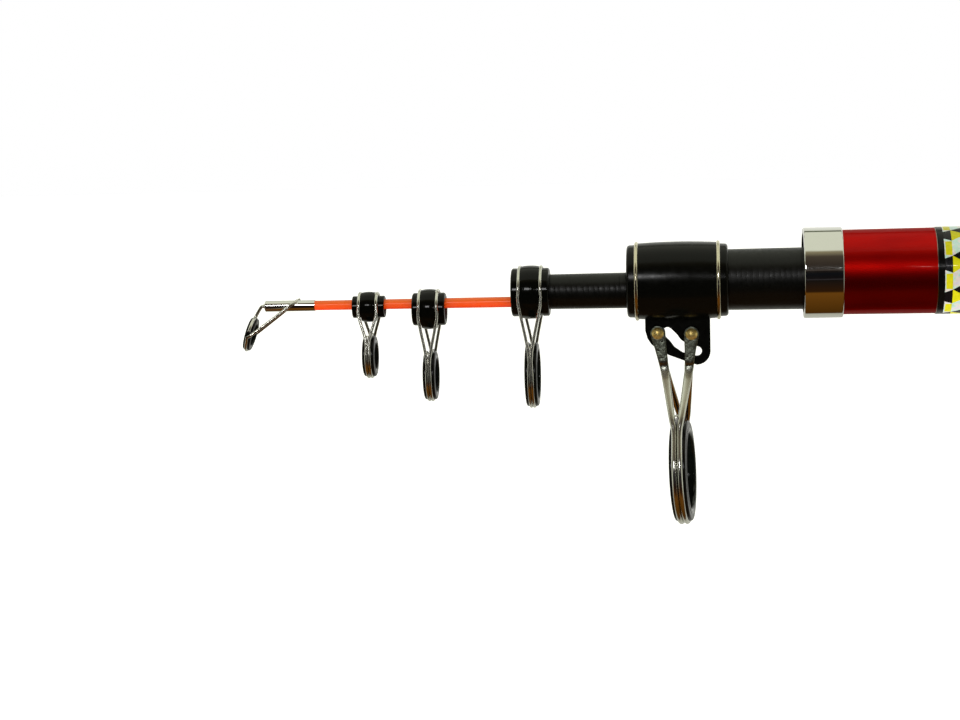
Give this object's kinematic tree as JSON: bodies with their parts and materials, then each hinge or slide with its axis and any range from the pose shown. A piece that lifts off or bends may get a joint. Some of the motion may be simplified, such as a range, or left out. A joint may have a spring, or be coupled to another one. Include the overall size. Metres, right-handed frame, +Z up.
{
  "type": "telescopic fishing rod",
  "caption": "Closed telescopic fishing rod: butt with reel seat and foam grips, nested tapered sections that draw out, sliding and fixed wire-framed line guides hanging below.",
  "frame": {"origin": "centre of the butt end face, on the rod's axis", "axes": "+X out of the butt end along the rod, so the tip points to -X; +Z up, with the line guides hanging towards -Z"},
  "size_m": [0.5853, 0.033, 0.0763],
  "materials": {
    "lacquer_red": "candy lacquer over glass fibre",
    "chrome": "polished",
    "band_black": "gloss",
    "wrap_foil": "gloss foil with a triangle pattern",
    "foam_black": "matt closed-cell foam",
    "seat_black": "satin moulded",
    "hood_metal": "brushed",
    "rubber_black": "matt",
    "section_black": "gloss clear coat over wound fibre",
    "collar_black": "high gloss moulded",
    "trim_gold": "polished",
    "rivet_brass": "polished",
    "plate_black": "gloss",
    "wire_steel": "polished stainless",
    "ring_black": "gloss",
    "ceramic": "polished ceramic",
    "nylon": "satin",
    "blank_orange": "gloss lacquer over solid glass fibre",
    "cork": "fine",
    "sleeve_white": "satin"
  },
  "bodies": {
    "butt": {"butt_tube": "lacquer_red", "front_ferrule": "chrome", "front_band": "band_black", "pattern_wrap": "wrap_foil", "rear_band": "band_black", "winding_check": "chrome", "foregrip": "foam_black", "reel_seat_tube": "seat_black", "fixed_hood": "hood_metal", "seat_end_ring": "chrome", "rear_grip": "foam_black", "butt_collar": "chrome"},
    "hood": {"sliding_hood": "hood_metal", "hood_liner": "seat_black"},
    "nut": {"lock_nut": "seat_black", "lock_nut_trim": "chrome"},
    "plug_seal": {"plug_gasket": "rubber_black"},
    "plug": {"butt_plug": "seat_black", "plug_cushion": "cork"},
    "section_3_slider": {"section_3_base_ring": "nylon"},
    "section_3": {"section_3_tube": "section_black", "stripper_collar": "collar_black", "stripper_rear_trim": "trim_gold", "stripper_front_trim": "trim_gold", "stripper_plate": "plate_black", "stripper_rivets": "rivet_brass", "stripper_front_frame": "wire_steel", "stripper_rear_frame": "wire_steel", "stripper_ring": "ring_black", "stripper_insert": "ceramic"},
    "section_2_slider": {"section_2_base_ring": "nylon"},
    "section_2": {"section_2_tube": "section_black", "guide_3_collar": "collar_black", "guide_3_front_wire": "wire_steel", "guide_3_rear_wire": "wire_steel", "guide_3_ring": "ring_black", "guide_3_insert": "ceramic"},
    "tip_slider": {"tip_base_ring": "nylon"},
    "tip": {"tip_blank": "blank_orange", "tip_top_tube": "chrome", "tip_top_frame": "wire_steel", "tip_top_ring": "ring_black", "tip_top_insert": "ceramic"},
    "guide_2_slider": {"guide_2_sleeve": "sleeve_white"},
    "guide_2": {"guide_2_collar": "collar_black", "guide_2_front_wire": "wire_steel", "guide_2_rear_wire": "wire_steel", "guide_2_ring": "ring_black", "guide_2_insert": "ceramic"},
    "guide_1_slider": {"guide_1_sleeve": "sleeve_white"},
    "guide_1": {"guide_1_collar": "collar_black", "guide_1_front_wire": "wire_steel", "guide_1_rear_wire": "wire_steel", "guide_1_ring": "ring_black", "guide_1_insert": "ceramic"}
  },
  "joints": [
    {"name": "section_3_slide", "type": "slide", "parent": "butt", "child": "section_3_slider", "axis": [-1, 0, 0.0034], "range_m": [0, 0.377]},
    {"name": "section_3_turn", "type": "hinge", "parent": "section_3_slider", "child": "section_3", "pos_m": [-0.031, 0, -0.00127], "axis": [-1, 0, 0], "continuous": true},
    {"name": "section_2_slide", "type": "slide", "parent": "section_3", "child": "section_2_slider", "axis": [-1, 0, 0.0051], "range_m": [0, 0.41341]},
    {"name": "section_2_turn", "type": "hinge", "parent": "section_2_slider", "child": "section_2", "pos_m": [-0.036, 0, -0.00339], "axis": [-1, 0, 0], "continuous": true},
    {"name": "tip_slide", "type": "slide", "parent": "section_2", "child": "tip_slider", "axis": [-1, 0, 0.0052], "range_m": [0, 0.43621]},
    {"name": "tip_turn", "type": "hinge", "parent": "tip_slider", "child": "tip", "pos_m": [-0.041, 0, -0.00568], "axis": [-1, 0, 0], "continuous": true},
    {"name": "guide_2_slide", "type": "slide", "parent": "tip", "child": "guide_2_slider", "axis": [1, 0, 0.005], "range_m": [0, 0.26864]},
    {"name": "guide_2_turn", "type": "hinge", "parent": "guide_2_slider", "child": "guide_2", "pos_m": [-0.5395, 0, -0.00702], "axis": [-1, 0, 0], "continuous": true},
    {"name": "guide_1_slide", "type": "slide", "parent": "tip", "child": "guide_1_slider", "axis": [1, 0, 0.0043], "range_m": [0, 0.1296]},
    {"name": "guide_1_turn", "type": "hinge", "parent": "guide_1_slider", "child": "guide_1", "pos_m": [-0.5542, 0, -0.00623], "axis": [-1, 0, 0], "continuous": true},
    {"name": "hood_slide", "type": "slide", "parent": "butt", "child": "hood", "axis": [1, 0, 0], "range_m": [0, 0.016]},
    {"name": "nut_turn", "type": "hinge", "parent": "hood", "child": "nut", "pos_m": [-0.2215, 0, 0], "axis": [1, 0, 0], "range_deg": [0, 2880.5]},
    {"name": "plug_slide", "type": "slide", "parent": "butt", "child": "plug_seal", "axis": [1, 0, 0], "range_m": [0, 0.017]},
    {"name": "plug_turn", "type": "hinge", "parent": "plug_seal", "child": "plug", "pos_m": [-0.008, 0, 0], "axis": [1, 0, 0], "range_deg": [0, 3060.5]}
  ],
  "couplings": [
    {"joint": "guide_2_slide", "follows": "tip_slide", "ratio": 0.61585},
    {"joint": "guide_1_slide", "follows": "tip_slide", "ratio": 0.29709},
    {"joint": "nut_turn", "follows": "hood_slide", "rad_per_m": 3141.6},
    {"joint": "plug_turn", "follows": "plug_slide", "rad_per_m": 3141.6}
  ]
}
